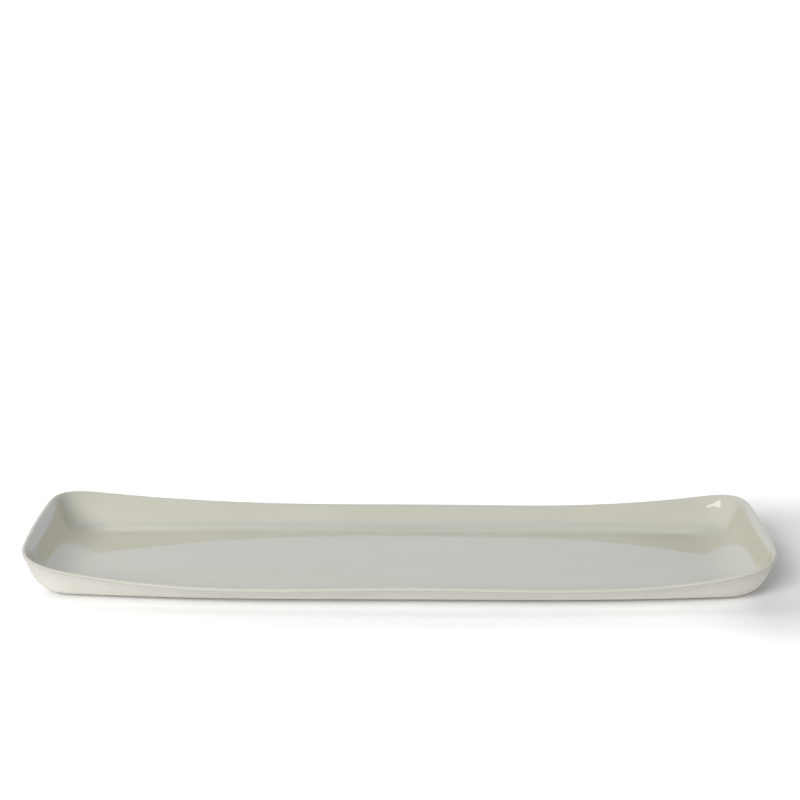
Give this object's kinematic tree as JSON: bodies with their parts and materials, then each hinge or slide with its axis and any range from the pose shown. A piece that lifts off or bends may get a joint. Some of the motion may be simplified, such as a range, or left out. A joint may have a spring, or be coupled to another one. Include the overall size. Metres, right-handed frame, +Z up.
{
  "type": "asparagus plate",
  "caption": "Long low rounded rectangular serving plate with a curved flaring wall, a rim swept up at both ends, a matt bare outside and a gloss glaze over the inside and the lip.",
  "frame": {"origin": "on the resting face, under the middle of the plate's length and width", "axes": "+X along the length, to the right as seen from the front, +Y across the width towards the back, +Z up"},
  "size_m": [0.47, 0.15, 0.03],
  "materials": {
    "bare_porcelain": "matt",
    "gloss_glaze": "gloss"
  },
  "bodies": {
    "root": {"porcelain_body": "bare_porcelain", "inner_glaze": "gloss_glaze"}
  },
  "joints": []
}
